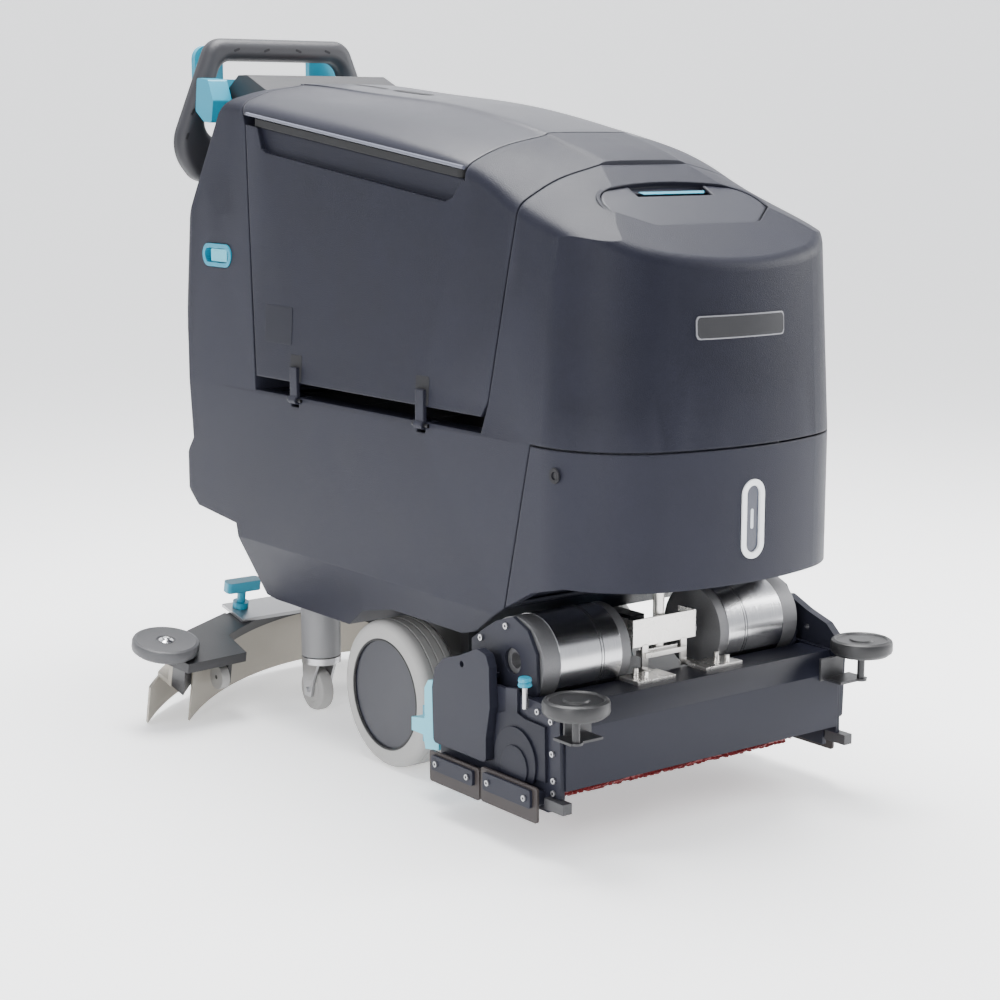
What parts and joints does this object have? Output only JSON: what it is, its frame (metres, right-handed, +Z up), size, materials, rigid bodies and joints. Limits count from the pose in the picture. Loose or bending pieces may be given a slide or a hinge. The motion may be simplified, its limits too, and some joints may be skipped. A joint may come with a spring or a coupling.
{
  "type": "floor scrubber machine",
  "caption": "Walk-behind floor scrubber dryer with a lifting twin cylindrical brush deck, curved rear squeegee, tilting recovery tank and loop handle.",
  "frame": {"origin": "on the floor, midway between the two drive wheels, under their axle", "axes": "+X towards the brush deck (forward), +Y to the machine's left, +Z up"},
  "size_m": [1.377, 0.948, 1.22],
  "materials": {
    "body_plastic": "textured",
    "lid_plastic": "satin",
    "black_plastic": "matte",
    "grip_plastic": "satin",
    "turquoise_plastic": "satin",
    "turquoise_light": "satin",
    "red_plastic": "gloss",
    "screen_glass": "gloss",
    "light_lens": "gloss",
    "deck_paint": "satin",
    "black_paint": "satin",
    "grey_paint": "satin",
    "steel": "brushed",
    "zinc": "satin",
    "cast_grey": "as cast",
    "black_rubber": "matte",
    "brown_rubber": "matte",
    "tan_rubber": "matte",
    "grey_tyre": "matte",
    "grey_roller": "satin",
    "battery_plastic": "matte",
    "bristle_red": "bristle"
  },
  "bodies": {
    "root": {"chassis_frame": "black_paint", "lower_body": "body_plastic", "front_cowl": "body_plastic", "front_light": "light_lens", "cover_screws": "steel", "latch_bezels": "turquoise_plastic", "battery_pack": "battery_plastic", "solution_pump": "black_plastic", "transaxle": "cast_grey", "caster_housings": "grey_paint", "console_housing": "black_plastic", "console_display": "screen_glass", "handle_grip": "grip_plastic", "lift_actuator": "grey_paint", "hose_ports": "black_plastic", "tank_hinge_pins": "steel"},
    "tank": {"recovery_tank": "body_plastic", "vacuum_motor": "black_plastic", "lid_gasket": "black_rubber"},
    "lid": {"top_lid": "lid_plastic"},
    "fill_lid": {"fill_lid": "lid_plastic"},
    "deck": {"deck_frame": "deck_paint", "deck_end_plates": "deck_paint", "belt_covers": "deck_paint", "skirt_retainers": "deck_paint", "skirt_rubbers": "brown_rubber", "deck_screws": "black_paint", "motor_cans": "steel", "motor_end_rings": "cast_grey", "lift_bracket": "zinc", "bumper_brackets": "black_paint"},
    "knob_right": {"plate_knob_right": "turquoise_plastic"},
    "knob_left": {"plate_knob_left": "turquoise_plastic"},
    "bumper_right": {"bumper_roller_right": "black_plastic"},
    "bumper_left": {"bumper_roller_left": "black_plastic"},
    "front_brush": {"front_brush": "bristle_red"},
    "rear_brush": {"rear_brush": "bristle_red"},
    "tray": {"debris_tray": "turquoise_plastic", "tray_handle": "turquoise_light"},
    "wheel_right": {"drive_tyre_right": "grey_tyre", "drive_hub_right": "deck_paint"},
    "wheel_left": {"drive_tyre_left": "grey_tyre", "drive_hub_left": "deck_paint"},
    "fork_right": {"caster_fork_right": "zinc"},
    "fork_left": {"caster_fork_left": "zinc"},
    "caster_right": {"caster_wheel_right": "grey_tyre"},
    "caster_left": {"caster_wheel_left": "grey_tyre"},
    "squeegee": {"squeegee_carrier": "zinc", "squeegee_head": "black_paint", "squeegee_blades": "tan_rubber"},
    "sq_roller_right": {"squeegee_roller_right": "grey_roller"},
    "sq_roller_left": {"squeegee_roller_left": "grey_roller"},
    "sq_knob_right": {"squeegee_knob_right": "turquoise_plastic"},
    "sq_knob_left": {"squeegee_knob_left": "turquoise_plastic"},
    "sq_wheels": {"squeegee_wheels": "grey_tyre"},
    "lever": {"squeegee_lever": "turquoise_plastic"},
    "paddles": {"drive_paddles": "turquoise_plastic"},
    "latch_right": {"latch_button_right": "turquoise_light"},
    "latch_left": {"latch_button_left": "turquoise_light"},
    "stop": {"stop_button": "red_plastic"}
  },
  "joints": [
    {"name": "tank_hinge", "type": "hinge", "parent": "root", "child": "tank", "pos_m": [0, -0.262, 0.598], "axis": [1, 0, 0], "range_deg": [0, 75]},
    {"name": "lid_hinge", "type": "hinge", "parent": "tank", "child": "lid", "pos_m": [-0.093, 0.242, 1.034], "axis": [-0.992, 0, 0.1264], "range_deg": [0, 80]},
    {"name": "fill_lid_hinge", "type": "hinge", "parent": "root", "child": "fill_lid", "pos_m": [0.5155, 0, 0.915], "axis": [0, 1, 0], "range_deg": [0, 85]},
    {"name": "deck_lift", "type": "slide", "parent": "root", "child": "deck", "axis": [0, 0, 1], "range_m": [-0.05, 0]},
    {"name": "knob_right_turn", "type": "hinge", "parent": "deck", "child": "knob_right", "pos_m": [0.456, -0.295, 0.255], "axis": [0, 0, 1], "continuous": true},
    {"name": "knob_left_turn", "type": "hinge", "parent": "deck", "child": "knob_left", "pos_m": [0.292, 0.295, 0.255], "axis": [0, 0, 1], "continuous": true},
    {"name": "bumper_right_spin", "type": "hinge", "parent": "deck", "child": "bumper_right", "pos_m": [0.573, -0.293, 0.243], "axis": [0, 0, 1], "continuous": true},
    {"name": "bumper_left_spin", "type": "hinge", "parent": "deck", "child": "bumper_left", "pos_m": [0.573, 0.293, 0.243], "axis": [0, 0, 1], "continuous": true},
    {"name": "front_brush_spin", "type": "hinge", "parent": "deck", "child": "front_brush", "pos_m": [0.434, 0, 0.117], "axis": [0, 1, 0], "continuous": true},
    {"name": "rear_brush_spin", "type": "hinge", "parent": "deck", "child": "rear_brush", "pos_m": [0.314, 0, 0.117], "axis": [0, 1, 0], "continuous": true},
    {"name": "tray_slide", "type": "slide", "parent": "deck", "child": "tray", "axis": [0, -1, 0], "range_m": [0, 0.45]},
    {"name": "wheel_right_spin", "type": "hinge", "parent": "root", "child": "wheel_right", "pos_m": [0, -0.2, 0.125], "axis": [0, 1, 0], "continuous": true},
    {"name": "wheel_left_spin", "type": "hinge", "parent": "root", "child": "wheel_left", "pos_m": [0, 0.2, 0.125], "axis": [0, 1, 0], "continuous": true},
    {"name": "fork_right_swivel", "type": "hinge", "parent": "root", "child": "fork_right", "pos_m": [-0.352, -0.14, 0.15], "axis": [0, 0, 1], "continuous": true},
    {"name": "caster_right_spin", "type": "hinge", "parent": "fork_right", "child": "caster_right", "pos_m": [-0.367, -0.14, 0.04], "axis": [0, 1, 0], "continuous": true},
    {"name": "fork_left_swivel", "type": "hinge", "parent": "root", "child": "fork_left", "pos_m": [-0.352, 0.14, 0.15], "axis": [0, 0, 1], "continuous": true},
    {"name": "caster_left_spin", "type": "hinge", "parent": "fork_left", "child": "caster_left", "pos_m": [-0.367, 0.14, 0.04], "axis": [0, 1, 0], "continuous": true},
    {"name": "squeegee_lift", "type": "hinge", "parent": "root", "child": "squeegee", "pos_m": [-0.45, 0, 0.17], "axis": [0, 1, 0], "range_deg": [-12, 0]},
    {"name": "sq_roller_right_spin", "type": "hinge", "parent": "squeegee", "child": "sq_roller_right", "pos_m": [-0.43418, -0.414, 0.14824], "axis": [0.2079, 0, 0.9781], "continuous": true},
    {"name": "sq_knob_right_turn", "type": "hinge", "parent": "squeegee", "child": "sq_knob_right", "pos_m": [-0.54292, -0.195, 0.18975], "axis": [0.2079, 0, 0.9781], "continuous": true},
    {"name": "sq_roller_left_spin", "type": "hinge", "parent": "squeegee", "child": "sq_roller_left", "pos_m": [-0.43418, 0.414, 0.14824], "axis": [0.2079, 0, 0.9781], "continuous": true},
    {"name": "sq_knob_left_turn", "type": "hinge", "parent": "squeegee", "child": "sq_knob_left", "pos_m": [-0.54292, 0.195, 0.18975], "axis": [0.2079, 0, 0.9781], "continuous": true},
    {"name": "sq_wheels_spin", "type": "hinge", "parent": "squeegee", "child": "sq_wheels", "pos_m": [-0.44777, 0, 0.06985], "axis": [0, 1, 0], "continuous": true},
    {"name": "lever_turn", "type": "hinge", "parent": "root", "child": "lever", "pos_m": [-0.655, -0.195, 0.832], "axis": [0, 1, 0], "range_deg": [-48, 0]},
    {"name": "paddles_turn", "type": "hinge", "parent": "root", "child": "paddles", "pos_m": [-0.64, 0, 1.1], "axis": [0, 1, 0], "range_deg": [-8, 8], "stiffness_Nm_per_rad": 2},
    {"name": "latch_right_press", "type": "slide", "parent": "root", "child": "latch_right", "axis": [0, 1, 0], "range_m": [0, 0.004], "stiffness_N_per_m": 400},
    {"name": "latch_left_press", "type": "slide", "parent": "root", "child": "latch_left", "axis": [0, -1, 0], "range_m": [0, 0.004], "stiffness_N_per_m": 400},
    {"name": "stop_press", "type": "slide", "parent": "root", "child": "stop", "axis": [0.5391, 0, -0.8422], "range_m": [0, 0.004], "stiffness_N_per_m": 800}
  ],
  "couplings": [
    {"joint": "lever_turn", "follows": "squeegee_lift", "ratio": 4}
  ]
}
